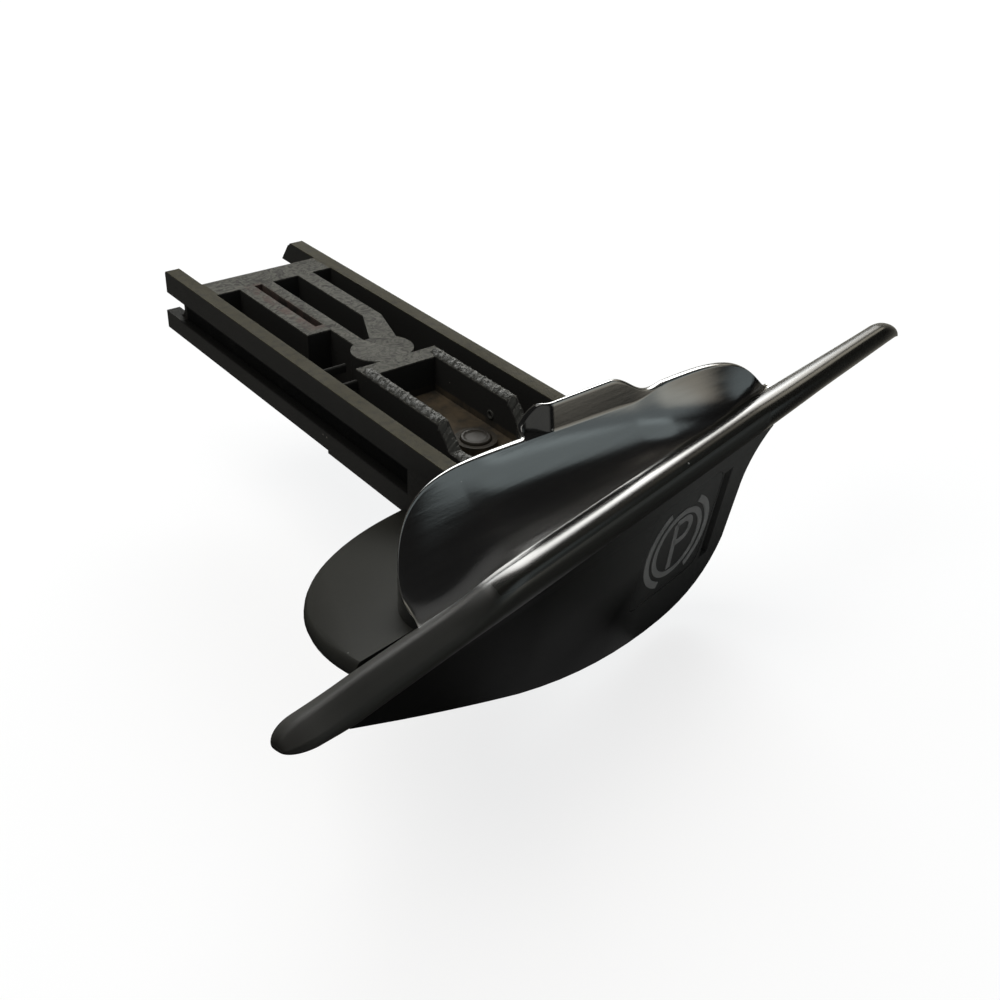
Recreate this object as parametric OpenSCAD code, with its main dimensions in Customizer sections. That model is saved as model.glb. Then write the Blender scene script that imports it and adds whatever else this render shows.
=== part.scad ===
// Pull handle that releases a parking brake: a moulded grip on a ribbed slide stem.
// Millimetres. X runs across the stem, Y back along it and Z up.
// The origin is the middle of the stem's rear edge, level with the top of its rails.

/* [Stem] */
// Width over the two rails
stem_w = 24; // [22:0.5:28]
// Height of the rails
stem_h = 9.65; // [8.4:0.05:11]
// Length from the rear plate's back edge to the front end
stem_l = 75.5; // [72:0.5:84]
// Width of each rail
rail_w = 2.2; // [1.8:0.1:2.8]
// Length of the rail ends behind the rear plate
ear_l = 8; // [4:0.5:12]
// Slant of the right rail's rear end
ear_slant = 2.6; // [0:0.1:3]
// Depth of the slide groove in each rail
groove_d = 1.1; // [0.6:0.1:1.3]
// Height of the slide groove
groove_h = 3.25; // [2.4:0.05:3.6]
// Depth of the groove's upper edge below the rail top
groove_top = 3.55; // [2.6:0.05:4]
// Length of the groove in front of the rear edge
groove_l = 57.4; // [45:0.1:60]
// Extra thickness under the front part of the stem
lip_step = 0.45; // [0.2:0.05:1]
// Distance from the rear edge to that step
lip_y = 38.8; // [30:0.1:45]
// Length of the rear cross plate
plate_l = 4.8; // [3:0.1:7]
// Thickness of the stem's floor
floor_t = 1.5; // [1.2:0.1:2]

/* [Ribs] */
// Left edge of the latch tongue
tongue_x = -6; // [-7:0.1:-5]
// Width of the latch tongue
tongue_w = 3.7; // [3:0.1:4]
// Length of the latch tongue from the rear edge
tongue_l = 24.4; // [18:0.1:27]
// Depth of the channel in the tongue's top
tongue_cut = 1.2; // [0.6:0.1:2]
// Middle of the long rib
rib_x = -1.35; // [-1.6:0.05:-1]
// Thickness of the long rib
rib_w = 1.9; // [1.4:0.1:2.2]
// Middle of the right rib
side_rib_x = 5.25; // [5:0.05:5.6]
// Thickness of the right rib
side_rib_w = 2.5; // [1.8:0.1:2.8]
// Distance from the rear edge to the bend of the right rib
bend_y = 23; // [18:0.1:25]
// Distance from the box back to the middle of the round lump where the ribs meet
lump_in = 3.3; // [2.8:0.1:3.6]
// Radius of the lump's ends
lump_r = 3.6; // [3:0.1:3.8]
// Distance between the middles of the lump's round ends
lump_w = 1.8; // [1:0.1:2.4]

/* [Cable box] */
// Middle of the box across the stem
box_x = 0.3; // [0:0.1:0.6]
// Distance from the stem's front end to the box
box_gap = 12; // [11:0.1:13]
// Length of the box
box_l = 26.6; // [24:0.1:29]
// Width of the box
box_w = 12.8; // [11.5:0.1:14]
// Thickness of its side walls
box_wall = 1.8; // [1.4:0.1:2.4]
// Thickness of its rear wall
box_back = 2.8; // [2:0.1:3.4]
// Depth of its floor below the rail top
box_floor = 5.2; // [4.6:0.1:6]
// Depth of the dip in its front wall and side walls
dip_d = 3; // [1.5:0.1:3.6]
// Length of that dip
dip_l = 6.6; // [4:0.1:8]

/* [Screw] */
// Diameter of the head
head_d = 4.2; // [3.6:0.1:5]
// Height of the head
head_h = 1.5; // [1.2:0.1:2]
// Diameter of the shank
shank_d = 2.8; // [2.2:0.1:3.2]
// Length below the head
screw_l = 13; // [10:0.5:14]
// Height of the seat above the box floor
seat_h = 1; // [0.5:0.1:1.6]
// Distance from the box's front wall to the screw
screw_in = 6.7; // [4:0.1:8]

/* [Trim bar] */
// Length of the bar
bar_l = 124.3; // [112:0.1:132]
// Length to the left of the stem's middle
bar_left = 51.2; // [47:0.1:56]
// Turn of the bar across the stem
bar_yaw = 12.5; // [8:0.5:14]
// Distance from the stem's front end to the bar's seam
bar_gap = 7.6; // [7.4:0.1:12]
// Height of the bar
bar_h = 5.3; // [4.8:0.1:6.5]
// Depth of the bar
bar_d = 4.2; // [3.6:0.1:5.5]
// Height of the bar's top above the rail top
bar_top = 1.7; // [1:0.1:3]
// Fall of the bar's top along the right wing
wing_drop = 1.3; // [0.6:0.1:1.8]
// Length of the rounded right tip
tip_l = 8; // [5:0.5:14]

/* [Face panel] */
// Reach of the face to the left
face_left = 43; // [38:0.5:46]
// Reach of the face to the right
face_right = 31.3; // [29:0.1:34]
// Height of the face below the seam
face_drop = 26.9; // [25:0.1:32]
// Lean of the face, its top to the front
face_lean = 9.5; // [0:0.5:14]
// Thickness of the face panel
face_t = 2.4; // [2:0.1:3]
// Width of the sign's inset plate
sign_w = 16; // [14:0.1:17]
// Height of the inset plate
sign_h = 16; // [14:0.1:17]
// Thickness of the inset plate
sign_t = 1.2; // [0.8:0.1:1.5]
// Middle of the inset plate along the bar
sign_x = 16.4; // [14:0.1:17]
// Depth of its middle below the seam
sign_y = 11.4; // [10.5:0.1:12]
// Width of the finger groove beside the plate
slot_w = 2.1; // [1.2:0.1:2.4]
// Length of that groove
slot_l = 15; // [10:0.1:16]
// Turn of that groove, its foot to the right
slot_turn = 3; // [0:1:14]

/* [Rear hull] */
// Half width of the hull
hull_a = 36.8; // [34:0.1:42]
// Distance from the bar back to the hull's rear edge
hull_b = 33; // [30:0.1:35]
// Offset of the hull's middle from the stem's
hull_x = -3; // [-5:0.1:0]
// Thickness of the hull's flange
hull_t = 2.4; // [1.8:0.1:3]
// Thickness of the web behind the face
web_t = 2.2; // [1.6:0.1:3]
// Margin of the web inside the face's outline
web_in = 0.06; // [0.03:0.01:0.1]
// Wall of the cradle round the stem's front end
cradle_t = 2.2; // [1.6:0.1:3]
// Thickness of the two gussets
gusset_t = 2; // [1.5:0.1:3]

/* [Upper shroud] */
// Half width of the shroud
shroud_a = 33.2; // [30:0.1:36]
// Middle of the shroud across the stem
shroud_x = 1.6; // [0:0.1:3]
// Depth of the dish from crest to bar
shroud_b = 7.6; // [6.8:0.1:9]
// Height of the crest above the bar's top
crest_h = 6.45; // [5:0.05:8]
// Wall thickness
shroud_t = 2; // [1.6:0.1:2.4]
// Width of the raised middle tab
tab_w = 13.4; // [10:0.1:18]
// Height of the tab above the crest
tab_h = 2.7; // [1.5:0.05:3.5]
// Fall of the crest along the tab's foot
crest_fall = 1.1; // [0:0.05:1.6]
// Steepness of the dish under the crest
scoop_top = 68; // [55:1:72]
// Steepness of the dish beside the bar
scoop_low = 14; // [6:1:24]

/* [Fit] */
// Clearance between pieces that sit in one another
fit = 0.15; // [0.1:0.05:0.3]

/* [Hidden] */
$fn = 48;
eps = 0.01;
far = 200;
rail_in = stem_w/2 - rail_w;
stem_low = stem_h + lip_step;
groove_mid = groove_top + groove_h/2;
box_y = stem_l - box_gap - box_l;
lump_y = box_y - lump_in;
screw_y = stem_l - box_gap - box_wall - screw_in;
seat_z = -box_floor + seat_h;
bar_y = stem_l + bar_gap;
bar_w0 = -1.2;
bar_right = bar_l - bar_left;
seam_z = bar_top - bar_h + 1;
face_w0 = 0.3;
hull_y = -bar_y - 4.9;
hull_slope = atan(stem_low/hull_b);
boss_d = shank_d + 3.8;
plastic = "#262624";

// Helpers

// Points of a quadratic curve from a to c that is drawn towards b
function bend(a, b, c, n = 8) =
    [for (i = [0:n]) let (t = i/n) (1 - t)*(1 - t)*a + 2*t*(1 - t)*b + t*t*c];

// Same points without the first
function rest(points) = [for (i = [1:len(points) - 1]) points[i]];

// Smooth step from 0 at a to 1 at b
function ease(a, b, x) = let (t = min(1, max(0, (x - a)/(b - a)))) t*t*(3 - 2*t);

// Closed outline with every corner cut at a quarter of its sides
function cut(points) = [for (i = [0:len(points) - 1])
    let (a = points[i], b = points[(i + 1) % len(points)])
    each [0.75*a + 0.25*b, 0.25*a + 0.75*b]];

// Skin over closed sections that all have the same number of points
module loft(sections) {
    count = len(sections[0]);
    last = len(sections) - 1;
    sides = [for (i = [0:last - 1], k = [0:count - 1])
        let (m = (k + 1) % count, a = i*count, b = a + count)
        each [[a + k, b + m, a + m], [a + k, b + k, b + m]]];
    near_cap = [for (k = [1:count - 2]) [0, k, k + 1]];
    top = last*count;
    far_cap = [for (k = [1:count - 2]) [top, top + k + 1, top + k]];
    polyhedron([for (s = sections) each s], concat(sides, near_cap, far_cap), convexity = 6);
}

// Box given by its corners
module block(low, high) {
    translate(low) cube(high - low);
}

// Upright rib of the stem's full height on a plan outline
module rib(outline) {
    translate([0, 0, -stem_h]) linear_extrude(stem_h) polygon(outline);
}

// Frame of the bar: x along it, y back and z up
module in_bar() {
    translate([0, -bar_y, 0]) rotate([0, 0, bar_yaw]) children();
}

// Frame of the face: x along the bar, y up the face and z out of it
module on_face() {
    in_bar() translate([0, face_w0, seam_z]) rotate([90 + face_lean, 0, 0]) children();
}

// Frame of the hull's flange, whose top is the plane z = 0
module on_hull() {
    translate([0, hull_y, 0]) rotate([-hull_slope, 0, 0]) children();
}

// Pull stem

module rail(side) {
    inner = side*rail_in;
    outer = side*stem_w/2;
    low_x = min(inner, outer);
    groove_x = side > 0 ? stem_w/2 - groove_d : -stem_w/2 - eps;
    difference() {
        union() {
            block([low_x, -stem_l, -stem_h], [low_x + rail_w, ear_l, 0]);
            block([low_x, -stem_l, -stem_low], [low_x + rail_w, -lip_y, -stem_h + eps]);
            block([low_x, ear_l - eps, -stem_h], [low_x + rail_w, ear_l + 0.8, -groove_top - groove_h]);
            if (side > 0) ear_slope(low_x);
        }
        block([groove_x, -groove_l, -groove_top - groove_h], [groove_x + groove_d + eps, far, -groove_top]);
        ear_notch(low_x);
        ear_corner(low_x);
    }
}

// Wedge that slants the rear end of the right rail
module ear_slope(low_x) {
    translate([low_x, 0, 0]) rotate([90, 0, 90]) linear_extrude(rail_w)
        polygon([[ear_l - 1, 0], [ear_l, 0], [ear_l + ear_slant, -groove_top - eps], [ear_l - 1, -groove_top - eps]]);
}

// Round-ended notch through the web at the rear end of a rail
module ear_notch(low_x) {
    notch_y = ear_l - 3.4 + groove_h/2;
    translate([low_x - eps, 0, -groove_mid]) {
        translate([0, notch_y, 0]) rotate([0, 90, 0]) cylinder(d = groove_h, h = rail_w + 2*eps);
        translate([0, notch_y, -groove_h/2]) cube([rail_w + 2*eps, far, groove_h]);
    }
}

// Rounding of the upper corner at the rear end of a rail
module ear_corner(low_x) {
    ear_r = rail_w*0.25;
    translate([low_x - eps, ear_l - ear_r, -ear_r]) difference() {
        cube([rail_w + 2*eps, ear_r + ear_slant + eps, ear_r + eps]);
        rotate([0, 90, 0]) cylinder(r = ear_r, h = rail_w + 2*eps);
    }
}

// Latch tongue with a channel in its top
module tongue() {
    ridge = tongue_w*0.65;
    difference() {
        block([tongue_x, -tongue_l, -stem_h], [rib_x, -plate_l + eps, 0]);
        block([tongue_x + ridge, -tongue_l + 2, -tongue_cut], [rib_x - rib_w/2, -plate_l, far]);
    }
}

// Ribs that run forward from the rear plate and join in the lump
module lattice() {
    long_l = rib_x - rib_w/2;
    side_l = side_rib_x - side_rib_w/2;
    tongue();
    block([long_l, -lump_y, -stem_h], [long_l + rib_w, -plate_l + eps, 0]);
    rib([[side_l, -plate_l + eps], [side_l, -bend_y], [box_x - 1, -lump_y + 1],
        [box_x + 3.4, -lump_y + 1], [side_l + side_rib_w, -bend_y - 1], [side_l + side_rib_w, -plate_l + eps]]);
    translate([box_x, -lump_y, -stem_h]) {
        for (side = [-1, 1]) translate([side*lump_w/2, 0, 0]) cylinder(r = lump_r, h = stem_h);
        translate([-lump_w/2, -lump_r, 0]) cube([lump_w, 2*lump_r, stem_h]);
    }
}

// Box for the cable's end, open at the top, with the screw seat on its floor
module cable_box() {
    low_x = box_x - box_w/2;
    front = -box_y - box_l;
    difference() {
        block([low_x, front, -stem_h], [low_x + box_w, -box_y, 0]);
        block([low_x + box_wall, front + box_wall, -box_floor], [low_x + box_w - box_wall, -box_y - box_back, far]);
        translate([low_x - eps, front, 0]) rotate([90, 0, 90]) linear_extrude(box_w + 2*eps)
            polygon([[-eps, far], [-eps, -dip_d], [box_wall + dip_l - dip_d, -dip_d],
                [box_wall + dip_l, 0], [box_wall + dip_l, far]]);
    }
    translate([box_x, -screw_y, -box_floor - eps]) cylinder(d = head_d + 1.4, h = seat_h + eps);
}

module pull_stem() {
    color(plastic) difference() {
        union() {
            for (side = [-1, 1]) rail(side);
            block([-rail_in - eps, -stem_l, -stem_h], [rail_in + eps, 0, -stem_h + floor_t]);
            block([-rail_in - eps, -stem_l, -stem_low], [rail_in + eps, -lip_y, -stem_h + eps]);
            block([-rail_in - eps, -plate_l, -stem_h], [rail_in + eps, 0, 0]);
            block([-rail_in - eps, -stem_l, -stem_h], [rail_in + eps, -stem_l + plate_l/2, 0]);
            for (y = [tongue_l, tongue_l + 5])
                block([-rail_in - eps, -y - 1, -stem_h], [tongue_x + eps, -y, -stem_h + 2*floor_t]);
            lattice();
            cable_box();
        }
        translate([box_x, -screw_y, -far/2]) cylinder(d = shank_d + 2*fit, h = far);
    }
}

// Screw from the box floor down into the hull

module stem_screw() {
    color("dimgray") translate([box_x, -screw_y, seat_z]) {
        cylinder(d = head_d, h = head_h);
        translate([0, 0, -screw_l]) cylinder(d = shank_d, h = screw_l + eps);
    }
}

// Face panel and what lies in its plane

// Outline of the face under the seam, k = 1 at full size
function face_outline(k) = let (l = -face_left*k, r = face_right*k, d = -face_drop*k)
    concat(
        [[l, -0.2]],
        bend([l, -1.2*k], [l*0.663, d*0.37], [l*0.326, d*0.655]),
        rest(bend([l*0.326, d*0.655], [r*0.147, d], [r*0.607, d])),
        rest(bend([r*0.607, d], [r*0.946, d], [r, d*0.687])),
        bend([r, d*0.335], [r*1.01, d*0.156], [r*1.14, -1.6*k]),
        [[r*1.14, -0.2]]);

module sign_outline(grow) {
    r = 2;
    w = sign_w/2 - r;
    h = sign_h/2 - r;
    translate([sign_x, -sign_y]) {
        for (x = [-w, w], y = [-h, h]) translate([x, y]) circle(r + grow);
        square([2*w, sign_h + 2*grow], center = true);
        square([sign_w + 2*grow, 2*h], center = true);
    }
}

module face_panel() {
    slot_x = sign_x + sign_w/2 + 2*fit;
    color(plastic) on_face() difference() {
        translate([0, 0, -face_t]) linear_extrude(face_t) polygon(face_outline(1));
        translate([0, 0, -sign_t]) linear_extrude(far) sign_outline(fit);
        translate([slot_x, -sign_y + sign_h*0.44, -sign_t]) rotate(slot_turn) translate([0, -slot_l, 0])
            cube([slot_w, slot_l, far]);
    }
}

module sign_plate() {
    color(plastic) on_face() translate([0, 0, -sign_t]) linear_extrude(sign_t) sign_outline(0);
}

// Trim bar with a short left wing and a long tapered right wing

bar_steps = 48;

// Corners of the bar's section as shares of its depth and height, on the flat left wing and on the roll
bar_wing = [[0.98, 0], [1, 0.4], [0.76, 0.85], [0.55, 0.9], [0.36, 0.79], [0.02, 0.58], [0, 0.4], [0.17, 0.21],
    [0.43, 0]];
bar_roll = [[0.98, -0.02], [1.01, 0.4], [0.88, 0.85], [0.64, 1], [0.33, 1.03], [0.01, 0.83], [-0.07, 0.49],
    [0.14, 0.19], [0.43, -0.02]];

// Section of the bar at distance t, from 0 at the left tip to 1 at the right one
function bar_section(t) = let (
    u = t*bar_l - bar_left,
    near = max(0, 1 - t*bar_l/(bar_h*0.38)),
    round_l = sqrt(max(0.02, 1 - near*near)),
    tip = max(0, 1 - (bar_right - u)/tip_l),
    fall = pow(max(0.04, 1 - tip*tip), 0.7),
    mid_w = bar_w0 + bar_d/2,
    mid_z = bar_top - 0.45*bar_h,
    top_z = bar_top - wing_drop*max(0, u/bar_right - 0.38)/0.5,
    low_z = bar_top - bar_h + 1.4*ease(-0.82*bar_left, -bar_left, u) - 0.25*ease(0.6*bar_right, 0.85*bar_right, u),
    low = mid_z + (low_z - mid_z)*round_l,
    high = (mid_z + (top_z - mid_z)*round_l - low)*fall,
    deep = bar_d*(0.5 + 0.5*round_l)*(1 - 0.25*ease(0.4*bar_right, 0.9*bar_right, u))*(0.4 + 0.6*fall),
    roll = ease(-0.59*bar_left, -0.37*bar_left, u))
    [for (c = cut(cut(bar_wing*(1 - roll) + bar_roll*roll))) [u, mid_w + (c[0] - 0.5)*deep, low + c[1]*high]];

module trim_bar() {
    color(plastic) difference() {
        in_bar() loft([for (i = [0:bar_steps]) bar_section((1 - cos(180*i/bar_steps))/2)]);
        on_face() translate([-face_left - fit, -far, -far/2])
            cube([face_left + face_right*1.14 + 2*fit, far - 0.2 + fit, far]);
    }
}

// Rear hull: a sloping flange, the cradle of the stem and a web behind the face

hull_steps = 64;

// Flange with a rounded edge that draws in underneath
module hull_blank() {
    long = hull_b/cos(hull_slope);
    edge = [[0, 0.7], [0.1, 0.38], [0.25, 0.14], [0.45, 0], [0.65, 0.12], [0.82, 0.55], [0.94, 1.1], [1, 1.8]];
    loft([for (e = edge) [for (i = [0:hull_steps])
        let (a = 190 - 200*i/hull_steps, k = 1 + 0.014*cos(3*(a - 130)))
        [hull_x + k*(hull_a - e[1])*cos(a), k*(long - e[1])*sin(a), -hull_t*e[0]]]]);
}

// Space in front of the bar's rear face
module before_bar() {
    in_bar() translate([-far/2, -far, -far/2]) cube([far, far + bar_w0 + bar_d + fit, far]);
}

// Trough that holds the stem's front end
module cradle() {
    out = stem_w/2 + fit + cradle_t;
    block([-out, -stem_l - fit - cradle_t, -stem_low - fit - cradle_t], [out, hull_y + hull_b - 2*cradle_t, 0]);
}

module web() {
    on_face() translate([0, 0, -face_t - web_t]) linear_extrude(web_t) intersection() {
        polygon(face_outline(1 - web_in));
        translate([-far/2, -far]) square([far, far - 1]);
    }
}

// Triangular gussets between the flange and the web
module gussets() {
    root_w = face_w0 + face_t;
    for (u = [-face_left*0.55, face_right*0.8])
        in_bar() translate([u - gusset_t/2, 0, 0]) rotate([90, 0, 90]) linear_extrude(gusset_t)
            polygon([[root_w + 1, seam_z - 1], [root_w + 2.5, -face_drop*0.3], [bar_w0 + bar_d + 6, seam_z - 2]]);
}

// Space above the flange's top plane
module above_hull() {
    on_hull() translate([-far/2, -far/2, 0]) cube(far);
}

// Space in front of the web
module before_web() {
    on_face() translate([-far/2, -far/2, -face_t]) cube(far);
}

module rear_hull() {
    boss_z = -stem_low - fit;
    boss_l = screw_l - seat_h - 4;
    color("#383834") difference() {
        union() {
            on_hull() hull_blank();
            cradle();
            web();
            gussets();
            translate([box_x, -screw_y, boss_z - boss_l]) cylinder(d = boss_d, h = boss_l);
        }
        above_hull();
        before_bar();
        before_web();
        block([-stem_w/2 - fit, -stem_l - fit, boss_z], [stem_w/2 + fit, far, far]);
        translate([box_x, -screw_y, -far/2]) cylinder(d = shank_d + fit, h = far);
    }
}

// Upper shroud: a dished cover that rises from the bar to a crest over the stem

dish_steps = 14;

// Tilt of the dish at share t of its way from the crest to the bar, and its sums forward and down
function scoop_tilt(t) = scoop_top + (scoop_low - scoop_top)*pow(t, 1.25);
scoop_forth = [for (i = 0, s = 0; i <= dish_steps; i = i + 1, s = s + cos(scoop_tilt((i - 0.5)/dish_steps))) s];
scoop_down = [for (i = 0, s = 0; i <= dish_steps; i = i + 1, s = s + sin(scoop_tilt((i - 0.5)/dish_steps))) s];

// Share of the tab's height at x, rising at its left end and sloping off on the right
function tab_share(x) =
    ease(-tab_w/2 - 1.3, -tab_w/2 + 0.5, x)*(1 - ease(tab_w*0.4, tab_w, x));

// Fall of the crest at x, growing along the tab's foot and gone past its right end
function crest_drop(x) =
    crest_fall*max(0, x + 1.34*tab_w)/(2.24*tab_w)*(1 - ease(tab_w*0.65, tab_w*1.1, x));

// Section of the shroud at x, let down to base above the flange, with tab above its crest
function shroud_section(x, base, tab) = let (
    xi = (x - shroud_x)/shroud_a,
    e = min(1, abs(xi)),
    arch = sqrt(max(0, 1 - pow(e, xi < 0 ? 4 : 3))),
    swell = xi < 0 ? pow(max(0.05, 1 - pow(e, 10)), 1.6) : (1 + 0.05*ease(0.2, 0.6, xi))*pow(max(0.05, 1 - pow(e, 8.5)), 2.2),
    valley = bar_top - 0.7,
    y_m = -bar_y + tan(bar_yaw)*x + (bar_w0 + bar_d + fit)/cos(bar_yaw),
    y_k = max(y_m + 1, y_m + shroud_b*(1 - 0.8*xi)*arch),
    z_k = valley + crest_h*swell - crest_drop(x),
    z_m = valley,
    foot_k = -tan(hull_slope)*(y_k - hull_y) + base,
    foot_m = -tan(hull_slope)*(y_m - hull_y) + base)
    concat(
        [[x, y_k, foot_k], [x, y_k, z_k + tab - 0.5], [x, y_k - 0.15, z_k + tab - 0.14],
            [x, y_k - 0.45, z_k + tab], [x, y_k - 0.6, z_k]],
        [for (j = [1:dish_steps])
            [x, y_k - 0.6 + (y_m - y_k + 0.6)*scoop_forth[j]/scoop_forth[dish_steps],
                z_k + (z_m - z_k)*scoop_down[j]/scoop_down[dish_steps]]],
        [[x, y_m, foot_m]]);

// Section of the hollow under the lower half of the dish at x
function hollow_section(x) = let (
    outer = shroud_section(x, -5, 0),
    half = dish_steps/2,
    last = len(outer) - 1)
    concat(
        [[x, outer[last - half - 1].y, outer[0].z]],
        [for (j = [0:half]) let (point = outer[last - half - 1 + j])
            [x, point.y + shroud_t*j/half, point.z - 1.25*shroud_t]],
        [[x, outer[last].y + shroud_t, outer[last].z]]);

module upper_shroud() {
    steps = 72;
    hollow_l = shroud_x - shroud_a*0.72;
    hollow_r = shroud_x + shroud_a*0.34;
    color(plastic) difference() {
        loft([for (i = [0:steps]) let (x = shroud_x - 0.998*shroud_a*cos(180*i/steps))
            shroud_section(x, fit/4, (tab_h + crest_drop(x))*tab_share(x))]);
        loft([for (i = [0:12]) hollow_section(hollow_l + (hollow_r - hollow_l)*i/12)]);
        block([-stem_w/2 - fit, -stem_l - fit, -far], [stem_w/2 + fit, far, fit]);
    }
}

pull_stem();
rear_hull();
upper_shroud();
trim_bar();
face_panel();
sign_plate();
stem_screw();
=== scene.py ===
import math

import bmesh
import bpy
import numpy as np
from mathutils import Euler, Matrix, Vector


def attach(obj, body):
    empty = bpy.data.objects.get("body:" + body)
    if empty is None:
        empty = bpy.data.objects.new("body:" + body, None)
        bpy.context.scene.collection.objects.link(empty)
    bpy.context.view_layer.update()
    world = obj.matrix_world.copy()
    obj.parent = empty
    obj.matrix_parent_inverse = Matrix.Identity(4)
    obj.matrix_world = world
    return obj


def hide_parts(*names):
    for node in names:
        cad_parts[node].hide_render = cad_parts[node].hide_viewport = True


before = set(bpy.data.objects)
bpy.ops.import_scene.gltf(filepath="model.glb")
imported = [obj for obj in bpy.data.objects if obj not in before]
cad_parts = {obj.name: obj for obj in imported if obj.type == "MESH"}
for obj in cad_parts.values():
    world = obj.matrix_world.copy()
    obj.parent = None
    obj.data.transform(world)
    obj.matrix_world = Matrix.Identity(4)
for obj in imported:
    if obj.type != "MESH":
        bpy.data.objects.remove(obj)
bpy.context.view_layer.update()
print("frame loaded", len(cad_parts), "nodes")

mm = 0.001

# places that the grip's pieces share, in millimetres and degrees
layout = {
    "barY": 83.1, "barYaw": 12.5, "seamZ": -2.6, "faceRoot": 0.3, "faceLean": 9.5,
    "hullY": -88.0, "hullDrop": 10.1, "hullReach": 33.0,
}

# corners closer than merge are one, in metres, faces within flat degrees of each other are one, and a rounded
# edge has edgeSteps steps
meshRules = {"merge": 2e-6, "flat": 0.4, "edgeSteps": 3}


def inBar(points):
    # along the bar, back and up, turned by the bar's yaw and set at its seam
    yaw = math.radians(layout["barYaw"])
    u, w, z = points[..., 0], points[..., 1], points[..., 2]
    x = u * math.cos(yaw) - w * math.sin(yaw)
    y = -layout["barY"] + u * math.sin(yaw) + w * math.cos(yaw)
    return np.stack([x, y, z], -1)


def onFace(points):
    # along the bar, up the face and out of it, leaned by the face's lean under the seam
    turn = math.radians(90 + layout["faceLean"])
    x, y, z = points[..., 0], points[..., 1], points[..., 2]
    w = layout["faceRoot"] + y * math.cos(turn) - z * math.sin(turn)
    up = layout["seamZ"] + y * math.sin(turn) + z * math.cos(turn)
    return inBar(np.stack([x, w, up], -1))


def smooth(low, high, x):
    # 0 before low, 1 after high and a cubic ease between them
    t = np.clip((x - low) / (high - low), 0, 1)
    return t * t * (3 - 2 * t)


def ease(first, second, span, x):
    # the first value before the span, the second after it
    return first + (second - first) * smooth(*span, x)


def addObject(name, data):
    # a new object in the scene
    piece = bpy.data.objects.new(name, data)
    bpy.context.scene.collection.objects.link(piece)
    return piece


def addPiece(name, mesh, sharp):
    # smooth apart from edges sharper than the angle
    mesh.polygons.foreach_set("use_smooth", np.ones(len(mesh.polygons), bool))
    mesh.set_sharp_from_angle(angle=math.radians(sharp))
    return addObject(name, mesh)


def skin(name, grid, closedU=False, capped=True, sharp=40):
    # quads between the rows of a grid, each row a closed ring, with one face over each open end
    rows, cols = grid.shape[:2]
    number = np.arange(rows * cols).reshape(rows, cols)
    nextRow = np.roll(number, -1, 0) if closedU else number[1:]
    thisRow = number if closedU else number[:-1]
    corners = [thisRow, np.roll(thisRow, -1, 1), np.roll(nextRow, -1, 1), nextRow]
    faces = np.stack(corners, -1).reshape(-1, 4).tolist()
    if capped and not closedU:
        faces.append(number[0][::-1].tolist())
        faces.append(number[-1].tolist())
    mesh = bpy.data.meshes.new(name)
    mesh.from_pydata((grid.reshape(-1, 3) * mm).tolist(), [], faces)
    work = bmesh.new()
    work.from_mesh(mesh)
    bmesh.ops.remove_doubles(work, verts=work.verts, dist=meshRules["merge"])
    bmesh.ops.recalc_face_normals(work, faces=work.faces)
    work.to_mesh(mesh)
    work.free()
    return addPiece(name, mesh, sharp)


def softCopy(name, node, width, angle=28):
    # copy of a frame node with merged corners and rounded edges
    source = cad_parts[node]
    mesh = source.data.copy()
    mesh.name = name
    flat = math.radians(meshRules["flat"])
    work = bmesh.new()
    work.from_mesh(mesh)
    bmesh.ops.transform(work, matrix=source.matrix_world, verts=work.verts)
    bmesh.ops.remove_doubles(work, verts=work.verts, dist=meshRules["merge"])
    bmesh.ops.dissolve_limit(work, angle_limit=flat, verts=work.verts, edges=work.edges)
    work.to_mesh(mesh)
    work.free()
    mesh.materials.clear()
    piece = addPiece(name, mesh, angle)
    bevel = piece.modifiers.new("roundEdges", "BEVEL")
    bevel.width = width * mm
    bevel.segments = meshRules["edgeSteps"]
    bevel.limit_method = "ANGLE"
    bevel.angle_limit = math.radians(angle)
    bevel.harden_normals = True
    bevel.miter_outer = "MITER_ARC"
    return piece


def place(piece, node, material):
    # the piece stands for the node, rides with the handle and takes its finish
    piece.data.materials.append(material)
    if node:
        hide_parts(node)
    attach(piece, "root")


# shared effects
floatSocket = "NodeSocketFloat"
vectorSocket = "NodeSocketVector"
vectorMath = "ShaderNodeVectorMath"


def makeGroup(name, inputs, outputs):
    # an empty effect with named inputs and outputs
    group = bpy.data.node_groups.new(name, "ShaderNodeTree")
    for label, kind, value in inputs:
        socket = group.interface.new_socket(label, in_out="INPUT", socket_type=kind)
        socket.default_value = value
    for label, kind in outputs:
        group.interface.new_socket(label, in_out="OUTPUT", socket_type=kind)
    start = group.nodes.new("NodeGroupInput")
    end = group.nodes.new("NodeGroupOutput")
    return group, start, end


def addNode(tree, kind, values=None, links=None, **settings):
    # a node with its settings, then values and links on its inputs
    node = tree.nodes.new(kind)
    for key, value in settings.items():
        setattr(node, key, value)
    for key, value in (values or {}).items():
        node.inputs[key].default_value = value
    for key, source in (links or {}).items():
        tree.links.new(source, node.inputs[key])
    return node


def calculate(tree, operation, *terms, kind="ShaderNodeMath", **settings):
    # one calculation on sockets or plain values, taken in the order of the node's inputs
    links = {k: term for k, term in enumerate(terms) if isinstance(term, bpy.types.NodeSocket)}
    values = {k: term for k, term in enumerate(terms) if k not in links}
    return addNode(tree, kind, values, links, operation=operation, **settings).outputs[0]


def blend(tree, kind, mask, first, second):
    # the first value where the mask is 0, the second where it is 1
    node = addNode(tree, "ShaderNodeMix", {"B": second}, {"Factor": mask, "A": first}, data_type=kind)
    return node.outputs["Result"]


def scaleColour(tree, colour, share):
    # a plain colour times a value that changes over the surface
    return addNode(tree, vectorMath, {0: colour}, {"Scale": share}, operation="SCALE").outputs[0]


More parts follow.
